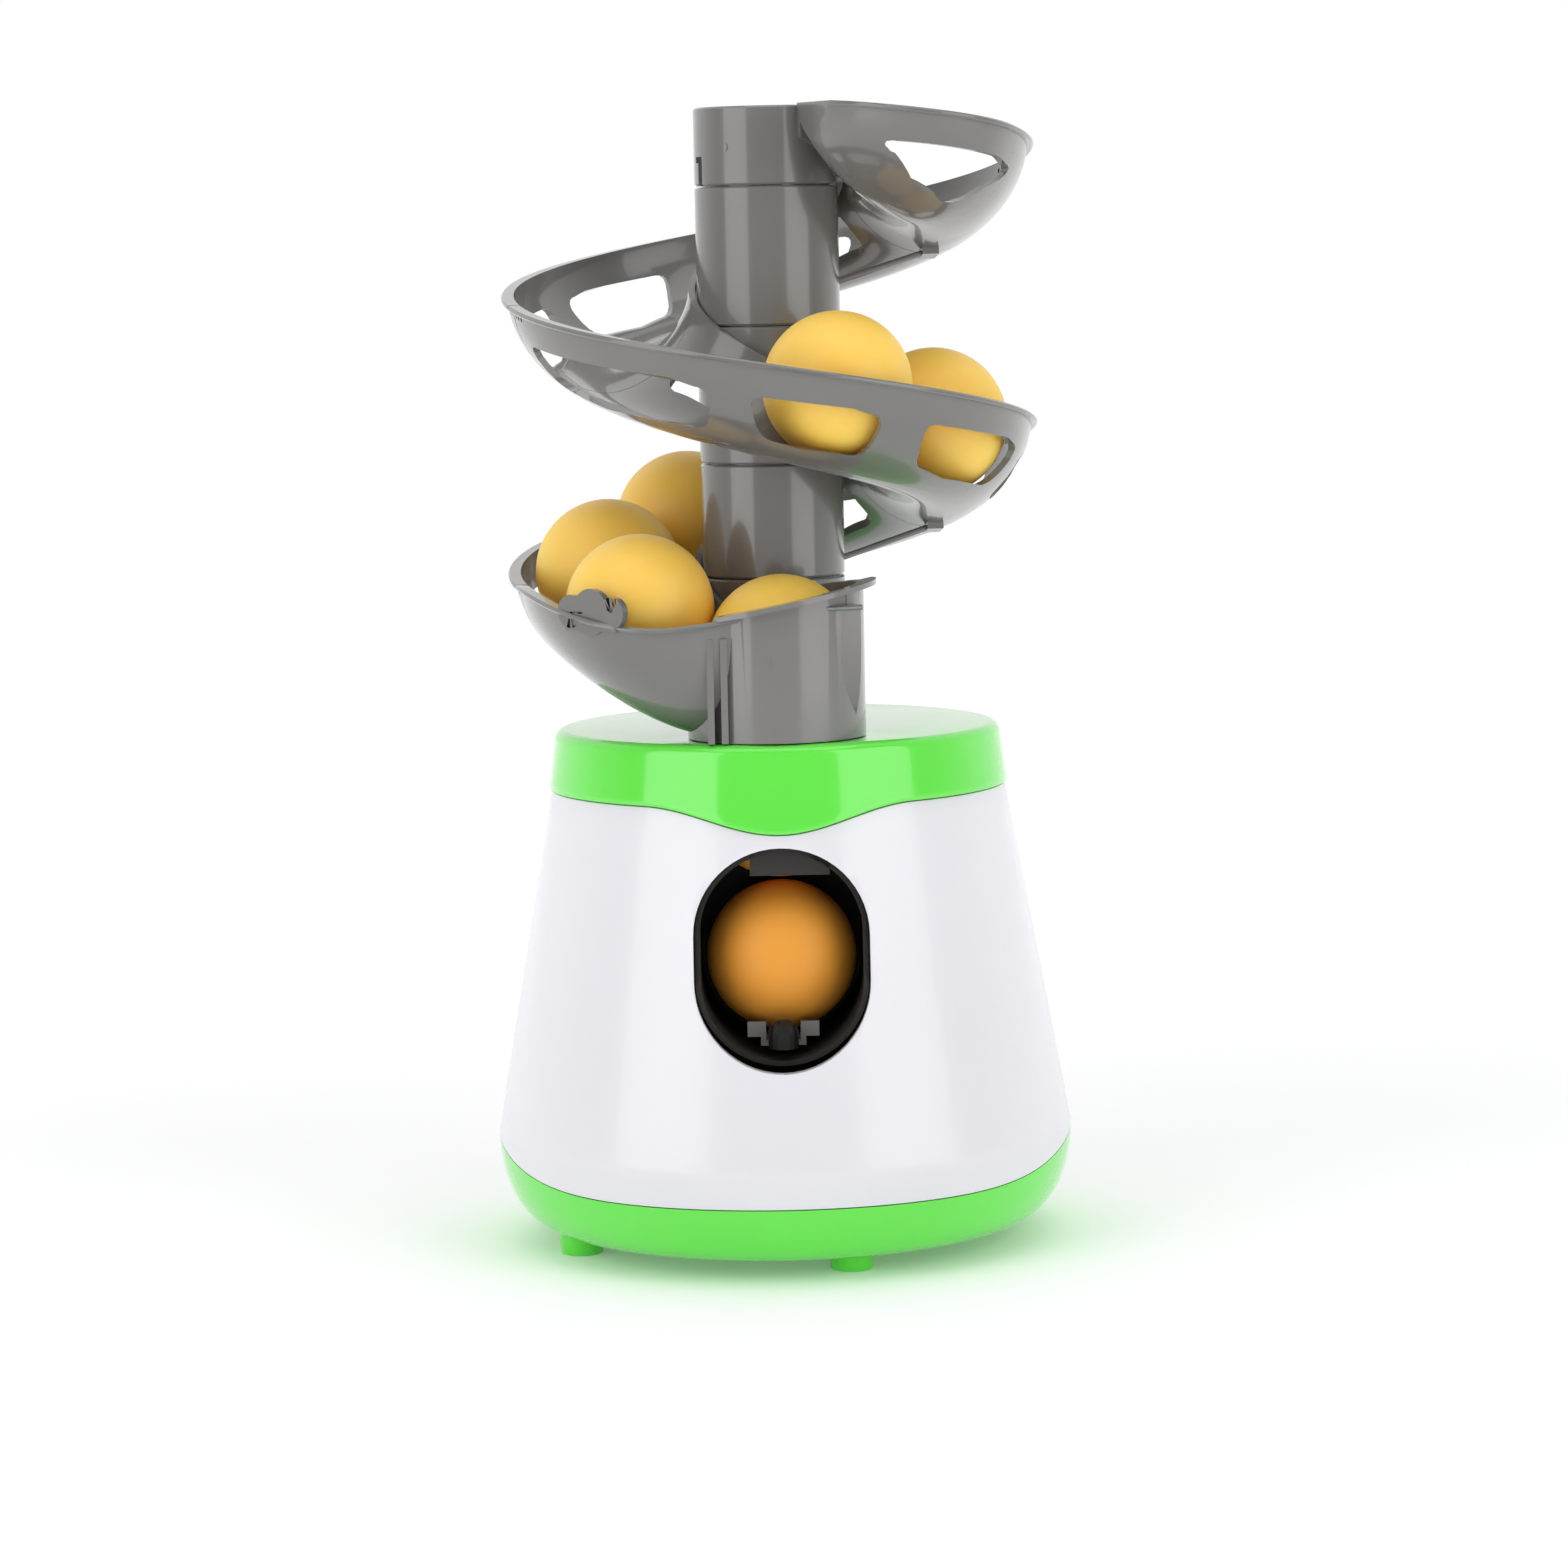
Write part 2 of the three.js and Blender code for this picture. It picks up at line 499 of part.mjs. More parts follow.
function ballCradle() {
  const [low, high] = [61.2, 62.6];
  const plate = box(-6, 6, -56, -24, low, high);
  const rail = (x0, x1) => box(x0, x1, -50, -29, low + 1, 63.6);
  const post = (x0, x1, out0, out1) => box(x0, x1, -56, -54, low + 1, 67.5)
    .add(box(out0, out1, -56, -54, 63.6, 67.5));
  const pivot = barX(1.4, -6, 6, ...CRADLE_AXIS, 12);
  const posts = union(post(-6, -4.6, -9.5, -5), post(4.6, 6, 5, 9.5));
  return union(plate, rail(-6, -4.4), rail(4.4, 6), posts, pivot);
}

function cradleKnob() {
  const stem = turned([[0, 61.2], [4, 61.2], [4, 65.8], [3.2, 67.6], [1.6, 68.6], [0, 68.8]], 16);
  return stem.translate([0, -60.4, 0]).add(box(-1.5, 1.5, -58, -56.3, 61.2, 62.6));
}

function striker() {
  const rod = barY(4, -13, 50, 0, LAUNCH_Z, 16);
  const collar = barY(6.4, 24, 26.5, 0, LAUNCH_Z, 16);
  let rack = box(-2.8, 2.8, -6, 20, DRIVE_AXIS[1] + 13.3, LAUNCH_Z - 2);
  const pitch = Math.PI * GEAR_MODULE;
  for (let i = 0; i < 8; i += 1) {
    const y = -5 + pitch * i;
    rack = rack.add(box(-2.8, 2.8, y, y + 1.2, DRIVE_AXIS[1] + 13.1, DRIVE_AXIS[1] + 14));
  }
  return union(rod, collar, rack);
}

function strikerTip() {
  const profile = [[0, 0], [TIP_R, 0], [TIP_R, 3.4], [6.2, 5], [3.4, 6], [0, 6.2]];
  return turned(profile, 16).rotate([90, 0, 0]).translate([0, TIP_BACK, LAUNCH_Z]);
}

function strikerSpring() {
  const turns = 6;
  const [y0, y1] = [27.4, 55];
  const points = [];
  for (let i = 0; i <= turns * 8; i += 1) {
    const t = i / (turns * 8);
    const a = 2 * Math.PI * turns * t;
    points.push(new THREE.Vector3(5.3 * Math.cos(a), y0 + (y1 - y0) * t, LAUNCH_Z + 5.3 * Math.sin(a)));
  }
  const section = new THREE.Shape();
  section.absarc(0, 0, 0.5, 0, 2 * Math.PI, false);
  const path = new THREE.CatmullRomCurve3(points);
  return solid(new THREE.ExtrudeGeometry(section, { steps: turns * 10, extrudePath: path, curveSegments: 2 }));
}

function battery(x) {
  const profile = [[0, 0], [7, 0], [7, 49], [2.6, 49], [2.6, 50.4], [0, 50.4]];
  return turned(profile, 14).rotate([x > 0 ? 90 : -90, 0, 0])
    .translate([x, x > 0 ? 34 : -16.5, FOOT_H + TRAY_WALL + 7.8]);
}

// ---- assembly -----------------------------------------------------------
const group = new THREE.Group();
const add = (name, body, material) => group.add(piece(name, body, material));

add('base_tray', baseTray(), plastic(GREEN, 0.2));
add('cone_housing', coneHousing(), plastic(WHITE, 0.2));
add('top_cap', topCap(), plastic(GREEN, 0.2));
const onTower = (body) => body.translate([0, TOWER_Y, 0]);
add('feed_cup', onTower(feedCup()), plastic(GREY));

const [seamA, seamB, seamC, seamD] = COLUMN_SEAMS;
add('track_lower', onTower(trackModule(seamD, seamC, 375, 555, [[385, 417], [424, 460], [467, 500], [507, 545]],
  [[388, 425], [435, 475], [485, 530]], false)), plastic(GREY));
add('track_middle', onTower(trackModule(seamC, seamB, 195, 375, [[201, 257], [265, 296], [306, 345], [352, 370]],
  [[208, 250], [300, 345]], false)), plastic(GREY));
add('track_upper', onTower(trackModule(seamB, seamA, 15, 195, [[25, 60], [68, 106], [115, 148], [155, 189]],
  [[30, 68], [80, 118], [130, 175]], false)), plastic(GREY));
add('tower_top', onTower(towerTop()), plastic(GREY));

add('chassis', chassis(), plastic(GREY, 0.5));
add('launch_sleeve', launchSleeve(), plastic(GREY, 0.5));
add('ball_cradle', ballCradle(), plastic(GREY, 0.5));
add('cradle_knob', cradleKnob(), plastic(BLACK, 0.5));
add('striker_rod', striker(), plastic(BLACK, 0.4));
add('striker_tip', strikerTip(), plastic(BLACK, 0.9));
add('striker_spring', strikerSpring(), metal(STEEL));
add('drive_gear', driveGear(), plastic(WHITE, 0.5));
add('idler_gear', idlerGear(), plastic(WHITE, 0.5));
add('motor_pinion', motorPinion(), plastic(WHITE, 0.5));
add('drive_axle', axle(DRIVE_AXIS), metal(STEEL));
add('idler_axle', axle(IDLER_AXIS), metal(STEEL));
add('motor', barX(10, -15.6, 8.3, ...MOTOR_AXIS, 20).subtract(barX(1.3, 5, 20, ...MOTOR_AXIS, 12)), metal(STEEL));

add('battery_door', box(-DOOR.x + 4 + GAP, DOOR.x - 4 - GAP, DOOR.y0 + 5 + GAP, DOOR.y1 - 5.5 - GAP,
  FOOT_H, FOOT_H + 1.8), plastic(GREEN, 0.3));
for (const [i, x] of [-21.9, -7.3, 7.3, 21.9].entries()) add(`battery_${i + 1}`, battery(x), plastic(BLACK, 0.4));
const contactAt = (y) => box(-30, 30, y, y + 0.4, FOOT_H + TRAY_WALL + 1, FOOT_H + TRAY_WALL + 14);
add('contact_plate_front', contactAt(-17.6), metal(STEEL));
add('contact_plate_rear', contactAt(35), metal(STEEL));

const slot = box(-5.2, 5.2, 73.6, 80, 47.6, 52.4);
add('switch_housing', box(-9, 9, 66, 75.8, 46, 54).subtract(slot), plastic(BLACK, 0.5));
add('switch_slider', box(-4.9, -0.4, 73.9, 77.4, 47.9, 52.1), plastic(BLACK, 0.6));

// A ball on the track rolls along the middle of the trough.
const onTrack = (deg) => [TRACK_MID_R * Math.cos(rad(deg)), TOWER_Y + TRACK_MID_R * Math.sin(rad(deg)),
  rimZ(deg) - TRACK_DEPTH + TRACK_WALL + BALL_LIFT];
const BALLS = {
  ball_in_port: [0, LAUNCH_Y, LAUNCH_Z],
  ball_in_chute: [0, CHUTE_Y, LAUNCH_Z + 2 * BALL_R + 0.5],
  ball_cup_right: [1.6, CHUTE_Y - 0.6, LAUNCH_Z + 4 * BALL_R + 1.5],
  ball_cup_front: [-36.1, -30.2, 176],
  ball_cup_left: onTrack(536),
  ball_cup_rear: onTrack(482),
  ball_track_front: onTrack(293),
  ball_track_right: onTrack(345),
};
for (const [name, at] of Object.entries(BALLS)) add(name, ballAt(...at), plastic(ORANGE, 0.5));

export default group;
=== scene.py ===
"""A table-tennis ball launcher, dressed around the CAD frame: cone housing, launch port, spiral feed."""

import json
import math

import bmesh
import bpy
from mathutils import Matrix, Vector


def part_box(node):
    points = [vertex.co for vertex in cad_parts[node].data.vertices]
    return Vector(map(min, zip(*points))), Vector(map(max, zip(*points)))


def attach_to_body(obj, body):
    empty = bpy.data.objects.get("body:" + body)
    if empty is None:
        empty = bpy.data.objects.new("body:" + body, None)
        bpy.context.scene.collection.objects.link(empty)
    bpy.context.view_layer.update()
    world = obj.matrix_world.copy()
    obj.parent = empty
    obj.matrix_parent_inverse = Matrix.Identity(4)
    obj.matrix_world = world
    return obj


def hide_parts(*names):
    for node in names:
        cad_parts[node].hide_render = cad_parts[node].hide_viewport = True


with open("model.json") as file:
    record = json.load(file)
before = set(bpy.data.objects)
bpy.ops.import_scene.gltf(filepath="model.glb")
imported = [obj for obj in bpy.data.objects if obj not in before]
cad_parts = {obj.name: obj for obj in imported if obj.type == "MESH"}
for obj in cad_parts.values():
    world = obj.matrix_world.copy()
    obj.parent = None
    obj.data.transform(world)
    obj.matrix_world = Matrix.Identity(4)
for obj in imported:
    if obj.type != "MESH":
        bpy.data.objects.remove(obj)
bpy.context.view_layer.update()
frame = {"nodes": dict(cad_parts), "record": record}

# ---- camera ---------------------------------------------------------------
CAMERA_BACK = 1.3492       # metres in front of the housing's axis
CAMERA_UP = 0.272
CAMERA_DOWN = 6.23         # degrees below level
CAMERA_ROLL = -1.19
LENS = 113.4               # focal length in millimetres
LENS_SHIFT = 0.0036

lens = bpy.data.cameras.new("camera")
lens.lens = LENS
lens.shift_x = LENS_SHIFT
camera = bpy.data.objects.new("camera", lens)
bpy.context.scene.collection.objects.link(camera)
camera.matrix_world = (Matrix.Translation((0, -CAMERA_BACK, CAMERA_UP))
                       @ Matrix.Rotation(math.radians(90 - CAMERA_DOWN), 4, "X")
                       @ Matrix.Rotation(math.radians(CAMERA_ROLL), 4, "Z"))
bpy.context.scene.camera = camera

# ---- dimensions, in millimetres, as in the CAD part -------------------------
MM = 0.001
FOOT_H = 4.5
BODY_R, BODY_Z = 78.9, 31
TRAY_FLOOR_R, TRAY_CURVE, TRAY_WALL = 61, 2.2, 2.2
SEAM_Z, SEAM_RISE = 21, 8.5
CONE_SLOPE, CONE_WALL, LIP_STEP = 0.178, 3.4, 2
CAP_TOP, CAP_R, CAP_SKIRT_R, CAP_WALL = 141.5, 61.1, 62.9, 1.6
SKIRT_Z, SWOOP_DROP, SWOOP_HALF = 125, 7, 36
PORT_W, PORT_H, PORT_Z = 46.5, 58.4, 85.5
LAUNCH_Z = 83.4
TOWER_Y, CHUTE_Y = 4.8, -36
CHUTE_BORE, CHUTE_OUT = 22, 23.8
CHUTE_RIM_Z, CHUTE_RIM_RISE, CHUTE_FLANGE = 178.2, 0.19, 3.4
TAB_LOBES = [(-7.6, 4.2), (0, 6.2), (7.2, 4.4)]
TAB_DEG, TAB_R, TAB_Z = 229, 73.2, 176.8
COLUMN_R, COLUMN_WALL, COLUMN_TOP = 19.5, 2, 309.4
COLUMN_SEAMS = [288, 250.3, 213, 182]
PITCH, START_PITCH, RIM_START = 75.3, 66, 298
TRACK_IN, TRACK_OUT, TRACK_DEPTH = 20, 71.2, 26
TRACK_WALL, RIM_LIP, LIP_H = 1.8, 1.6, 1.4
START_DEG, FULL_DEG = -64, -26
CUP_FROM, CUP_TO, CUP_FRONT_Z = 555, 652, 172.5
TRACK_SQUARE, CUP_SQUARE = 1.1, 0.62
BALL_R = 20
GAP = 0.3
CAP_CORNER = 3             # rounding of the cap's top edge
LIP_EDGE = 0.45            # rounding of the rolled rim's corners
WINDOW_CORNER = 4.5
SPIGOT_WALL, SPIGOT_LOW, SPIGOT_HIGH = 1.5, 3, 4.5
NOTCH_HALF_DEG, NOTCH_TOP, NOTCH_LOW = 0.45, -1.9, -3.1
STRIKER_BORE = 8.5
FEET = [(-56, -24), (17, -52), (63, 32), (-17, 56)]
STEP_DEG = 2.5             # of a swept part
SECTION_ARC = 22           # points along half a trough


# ---- materials --------------------------------------------------------------
def node(tree, kind, **values):
    """A shader node with its sockets set by name."""
    made = tree.nodes.new(kind)
    for key, value in values.items():
        made.inputs[key.replace("_", " ")].default_value = value
    return made


def moulded(name, colour, rough, *, coat=0.0, mottle=0.04, grain=0.015, grain_scale=900.0, metal=0.0,
            flow=0.0, shine=0.5, glow=0.0):
    """Moulded plastic: slow colour drift, uneven gloss, a fine skin and faint upright flow marks."""
    mat = bpy.data.materials.new(name)
    mat.use_nodes = True
    tree = mat.node_tree
    tree.nodes.clear()
    out = tree.nodes.new("ShaderNodeOutputMaterial")
    shader = node(tree, "ShaderNodeBsdfPrincipled", Metallic=metal, IOR=1.52)
    shader.inputs["Coat Weight"].default_value = coat
    shader.inputs["Coat Roughness"].default_value = 0.06
    shader.inputs["Specular IOR Level"].default_value = shine
    shader.inputs["Subsurface Weight"].default_value = glow
    shader.inputs["Subsurface Radius"].default_value = (1.0, 0.7, 0.3)
    shader.inputs["Subsurface Scale"].default_value = 0.012
    place = tree.nodes.new("ShaderNodeTexCoord")
    drift = node(tree, "ShaderNodeTexNoise", Scale=22.0, Detail=3.0)
    tint = tree.nodes.new("ShaderNodeValToRGB")
    dark = [c * (1 - mottle) for c in colour]
    pale = [min(1.0, c * (1 + mottle)) for c in colour]
    for stop, place_at, shade in zip(tint.color_ramp.elements, (0.3, 0.7), (dark, pale)):
        stop.position, stop.color = place_at, (*shade, 1)
    gloss = node(tree, "ShaderNodeTexNoise", Scale=60.0, Detail=4.0)
    span = node(tree, "ShaderNodeMapRange")
    span.inputs["To Min"].default_value = rough * 0.82
    span.inputs["To Max"].default_value = rough * 1.2
    skin = node(tree, "ShaderNodeTexNoise", Scale=grain_scale, Detail=2.0)
    bump = node(tree, "ShaderNodeBump", Strength=grain, Distance=0.0004)
    tree.links.new(place.outputs["Object"], drift.inputs["Vector"])
    tree.links.new(drift.outputs["Fac"], tint.inputs["Fac"])
    tree.links.new(tint.outputs["Color"], shader.inputs["Base Color"])
    tree.links.new(place.outputs["Object"], gloss.inputs["Vector"])
    tree.links.new(gloss.outputs["Fac"], span.inputs["Value"])
    tree.links.new(span.outputs["Result"], shader.inputs["Roughness"])
    tree.links.new(place.outputs["Object"], skin.inputs["Vector"])
    height = skin.outputs["Fac"]
    if flow:
        stretch = tree.nodes.new("ShaderNodeMapping")
        stretch.inputs["Scale"].default_value = (1, 1, 0.06)
        marks = node(tree, "ShaderNodeTexNoise", Scale=140.0, Detail=2.0)
        blend = node(tree, "ShaderNodeMath")
        blend.operation = "MULTIPLY_ADD"
        blend.inputs[1].default_value = flow
        tree.links.new(place.outputs["Object"], stretch.inputs["Vector"])
        tree.links.new(stretch.outputs["Vector"], marks.inputs["Vector"])
        tree.links.new(marks.outputs["Fac"], blend.inputs[0])
        tree.links.new(skin.outputs["Fac"], blend.inputs[2])
        height = blend.outputs["Value"]
    tree.links.new(height, bump.inputs["Height"])
    tree.links.new(bump.outputs["Normal"], shader.inputs["Normal"])
    tree.links.new(shader.outputs["BSDF"], out.inputs["Surface"])
    return mat


MATERIALS = {
    "green_shell": moulded("green_abs", (0.115, 0.760, 0.052), 0.16, coat=0.6, mottle=0.02),
    "white_shell": moulded("white_abs", (0.755, 0.745, 0.785), 0.24, coat=0.3, mottle=0.012),
    "grey_track": moulded("grey_abs", (0.148, 0.145, 0.137), 0.22, coat=0.6, mottle=0.06, flow=1.4),
    "grey_inner": moulded("grey_satin", (0.160, 0.155, 0.148), 0.42, mottle=0.06),
    "ball_orange": moulded("ball_skin", (1.000, 0.600, 0.100), 0.46, mottle=0.015, grain=0.05,
                           grain_scale=1500.0, glow=0.7),
    "black_plastic": moulded("black_abs", (0.010, 0.010, 0.009), 0.42, mottle=0.2, shine=0.2),
    "black_rubber": moulded("rubber", (0.014, 0.014, 0.014), 0.75, mottle=0.3, grain=0.1),
    "gear_white": moulded("acetal", (0.780, 0.770, 0.720), 0.40, mottle=0.03),
    # A darker copy of the ball skin for the balls deep in the port and the chute: painted shade for the
    # shadow they sit in.
    "painted_shade_ball": moulded("shaded_ball_skin", (0.800, 0.330, 0.040), 0.5, mottle=0.015, grain=0.05,
                           shine=0.3),
    # A near-black copy of the grey inner plastic: painted shade for the shadowed inside of the launch port.
    "painted_shade_inner": moulded("painted_shade_satin", (0.030, 0.028, 0.026), 0.5, mottle=0.1, shine=0.3),
    "steel": moulded("plated_steel", (0.560, 0.570, 0.580), 0.26, mottle=0.08, metal=1.0),
    "cell_wrap": moulded("cell_film", (0.030, 0.030, 0.040), 0.22, coat=0.4, mottle=0.2),
}


# ---- mesh helpers -----------------------------------------------------------
def grid(rows, wrap_rows=False, wrap_columns=False):
    """Quads over a grid of points, all rows as long as each other. Returns (points, faces)."""
    count = len(rows[0])
    points = [p for row in rows for p in row]
    faces = []
    for i in range(len(rows) if wrap_rows else len(rows) - 1):
        for j in range(count if wrap_columns else count - 1):
            low, high = i * count, (i + 1) % len(rows) * count
            k = (j + 1) % count
            faces.append((low + j, low + k, high + k, high + j))
    return points, faces


def swept(section_at, start, end, step=STEP_DEG):
    """A closed solid: a ring of (radius, z) points at each angle, swept about the tower's axis."""
    steps = max(1, round((end - start) / step))
    rows = []
    for i in range(steps + 1):
        deg = start + (end - start) * i / steps
        c, s = math.cos(math.radians(deg)), math.sin(math.radians(deg))
        rows.append([(r * c, TOWER_Y + r * s, z) for r, z in section_at(deg)])
    points, faces = grid(rows, wrap_columns=True)
    count = len(rows[0])
    faces.append(tuple(reversed(range(count))))
    faces.append(tuple(range(steps * count, (steps + 1) * count)))
    return points, faces


def turned(profile, centre=(0, 0), segments=96):
    """A lathed solid about an upright axis, from [radius, z] pairs: closed at radius 0, or else a ring."""
    rows = []
    for i in range(segments):
        a = 2 * math.pi * i / segments
        c, s = math.cos(a), math.sin(a)
        rows.append([(centre[0] + r * c, centre[1] + r * s, z) for r, z in profile])
    return grid(rows, wrap_rows=True, wrap_columns=profile[0][0] > 0)


def extruded(outline, to_3d, low, high):
    """A closed prism: an outline of (a, b) pairs carried from low to high by to_3d(a, b, level)."""
    count = len(outline)
    points = [to_3d(a, b, level) for level in (low, high) for a, b in outline]
    faces = [(i, (i + 1) % count, (i + 1) % count + count, i + count) for i in range(count)]
    for start in (0, count):
        mid = [sum(p[k] for p in points[start:start + count]) / count for k in range(3)]
        points.append(tuple(mid))
    for i in range(count):
        k = (i + 1) % count
        faces += [(k, i, 2 * count), (count + i, count + k, 2 * count + 1)]
    return points, faces


def block(x0, x1, y0, y1, z0, z1):
    outline = [(x0, y0), (x1, y0), (x1, y1), (x0, y1)]
    return extruded(outline, lambda a, b, level: (a, b, level), z0, z1)


def rounded(corners, radius, steps=5):
    """A polygon's corners rounded off, each by an arc that is at most radius from the corner."""
    points = []
    count = len(corners)
    for i, corner in enumerate(corners):
        here = Vector(corner)
        sides = [Vector(corners[i - 1]) - here, Vector(corners[(i + 1) % count]) - here]
        reach = min(radius, *(0.48 * side.length for side in sides))
        start, end = (here + side.normalized() * reach for side in sides)
        for k in range(steps + 1):
            t = k / steps
            points.append(tuple((1 - t) ** 2 * start + 2 * t * (1 - t) * here + t * t * end))
    return points


def mesh_from(name, shape):
    points, faces = shape
    mesh = bpy.data.meshes.new(name)
    mesh.from_pydata([tuple(c * MM for c in p) for p in points], [], faces)
    mesh.update()
    obj = bpy.data.objects.new(name, mesh)
    bpy.context.scene.collection.objects.link(obj)
    tidy_mesh(mesh)
    return obj


def tidy_mesh(mesh):
    """Merges doubled points and turns every face outwards."""
    work = bmesh.new()
    work.from_mesh(mesh)
    bmesh.ops.remove_doubles(work, verts=work.verts, dist=1e-6)
    bmesh.ops.dissolve_degenerate(work, edges=work.edges, dist=1e-7)
    bmesh.ops.recalc_face_normals(work, faces=work.faces)
    work.to_mesh(mesh)
    work.free()


def settle(obj):
    """Applies the object's modifiers."""
    bpy.context.view_layer.update()
    graph = bpy.context.evaluated_depsgraph_get()
    mesh = bpy.data.meshes.new_from_object(obj.evaluated_get(graph))
    obj.modifiers.clear()
    obj.data = mesh


def combine_objects(obj, tools, operation):
    for tool in tools:
        step = obj.modifiers.new("cut", "BOOLEAN")
        step.operation, step.object, step.solver = operation, tool, "EXACT"
        settle(obj)
        bpy.data.objects.remove(tool)
    return obj


def combine(obj, shapes, operation="DIFFERENCE"):
    """Cuts the shapes from the object, or joins or intersects them."""
    return combine_objects(obj, [mesh_from("cutter", shape) for shape in shapes], operation)


def attach(obj, others):
    """Adds other objects' meshes to one object, as they are."""
    work = bmesh.new()
    work.from_mesh(obj.data)
    for other in others:
        work.from_mesh(other.data)
        bpy.data.objects.remove(other)
    work.to_mesh(obj.data)
    work.free()
    return obj


def dress(obj, slot, body, cad_node, bevel=0.0, smooth_deg=32, look=None):
    """Gives a piece its material and its body, hides the CAD node that it stands for, and gives it soft
    edges.
    """
    if bevel:
        edge = obj.modifiers.new("edges", "BEVEL")
        edge.width, edge.segments, edge.limit_method = bevel * MM, 2, "ANGLE"
        edge.angle_limit = math.radians(40)
        edge.use_clamp_overlap = True
        settle(obj)
    mesh = obj.data
    mesh.materials.clear()
    mesh.materials.append(MATERIALS[look or slot])
    mesh.polygons.foreach_set("use_smooth", [True] * len(mesh.polygons))
    mesh.set_sharp_from_angle(angle=math.radians(smooth_deg))
    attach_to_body(obj, body)
    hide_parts(cad_node)
    return obj


# ---- housing ----------------------------------------------------------------
def body_r(z):
    if z > BODY_Z:
        return BODY_R - CONE_SLOPE * (z - BODY_Z)
    down = min(1, (BODY_Z - z) / (BODY_Z - FOOT_H))
    return TRAY_FLOOR_R + (BODY_R - TRAY_FLOOR_R) * (1 - down ** TRAY_CURVE) ** (1 / TRAY_CURVE)


def seam_at(x):
    return SEAM_Z + SEAM_RISE * min(1, abs(x / BODY_R)) ** 8


def swoop_at(x):
    t = min(1, abs(x) / SWOOP_HALF)
    return SKIRT_Z - SWOOP_DROP * (0.5 + 0.5 * math.cos(math.pi * t))


def edge_height(angle, radius_at, height_at, start):
    """The height where a curved edge, given by x, crosses the surface at this angle."""
    z = start
    for _ in range(6):
        z = height_at(radius_at(z) * math.cos(angle))
    return z


def skirt_r(z):
    if z > SKIRT_Z:
        return CAP_SKIRT_R + (CAP_R - CAP_SKIRT_R) * (z - SKIRT_Z) / (CAP_TOP - CAP_CORNER - SKIRT_Z)
    return CAP_SKIRT_R + CONE_SLOPE * (SKIRT_Z - z)


def around(profile_at, segments=160):
    """A closed solid whose [radius, z] profile changes with the angle."""
    rows = []
    for i in range(segments):
        a = 2 * math.pi * i / segments
        rows.append([(r * math.cos(a), r * math.sin(a), z) for r, z in profile_at(a)])
    return grid(rows, wrap_rows=True, wrap_columns=profile_at(0)[0][0] > 0)


def between(low, high, count):
    return [low + (high - low) * i / count for i in range(count + 1)]


def tray_profile(angle):
    top = edge_height(angle, body_r, seam_at, SEAM_Z) - GAP / 2
    rise = [FOOT_H + (top - FOOT_H) * t ** 2 for t in between(0, 1, 18)]
    outer = [(body_r(z), z) for z in rise]
    floor = FOOT_H + TRAY_WALL
    inner = [(max(1, body_r(z) - TRAY_WALL), max(floor, z)) for z in reversed(rise)]
    return [(0, FOOT_H), *outer, *inner, (0, floor)]


def base_tray():
    obj = mesh_from("base_tray_shell", around(tray_profile))
    inside = FOOT_H + TRAY_WALL
    combine(obj, [block(-29, 29, -17, 34.5, 0, inside + 1)])
    extras = []
    for x, y in FEET:
        profile = [(0, 0), (5.2, 0), (5.65, 0.25), (5.85, 0.8), (6.4, FOOT_H + 4), (0, FOOT_H + 4)]
        extras.append(mesh_from("foot", turned(profile, (x, y), 48)))
    for x0, x1, y0, y1 in [(-33.5, 33.5, -21.5, -19.5), (-33.5, 33.5, 36.5, 38.5),
                           (-33.5, -31.5, -19.5, 36.5), (31.5, 33.5, -19.5, 36.5)]:
        extras.append(mesh_from("wall", block(x0, x1, y0, y1, FOOT_H + 1, inside + 16)))
    return dress(attach(obj, extras), "green_shell", "machine", "base_tray")


def housing_profile(angle):
    low = edge_height(angle, body_r, seam_at, SEAM_Z) + GAP / 2
    front = math.sin(angle) < 0
    high = (edge_height(angle, body_r, swoop_at, SKIRT_Z) if front else SKIRT_Z) - GAP / 2
    top = CAP_TOP - CAP_WALL - GAP - 1
    outer = [(body_r(z), z) for z in [*between(low, BODY_Z + 2, 8), *between(BODY_Z + 4, high, 12)]]
    step = [(body_r(high) - LIP_STEP, high), (body_r(top) - LIP_STEP, top), (body_r(top) - CONE_WALL, top)]
    inner = [(body_r(z) - CONE_WALL, z) for z in [*between(top - 2, BODY_Z, 8), *between(BODY_Z - 2, low, 4)]]
    return outer + step + inner


def obround(width, height, z, steps=28):
    r, half = width / 2, height / 2 - width / 2
    arcs = []
    for centre, start in ((z + half, 0), (z - half, math.pi)):
        for i in range(steps + 1):
            a = start + math.pi * i / steps
            arcs.append((r * math.cos(a), centre + r * math.sin(a)))
    return arcs


def along_y(outline, y0, y1):
    return extruded(outline, lambda a, b, level: (a, level, b), y0, y1)


def cone_housing():
    obj = mesh_from("cone_housing_shell", around(housing_profile))
    combine(obj, [along_y(obround(PORT_W, PORT_H, PORT_Z), -90, -20), block(-9.3, 9.3, 40, 90, 45.7, 54.3)])
    return dress(obj, "white_shell", "machine", "cone_housing", bevel=0.7, smooth_deg=38)


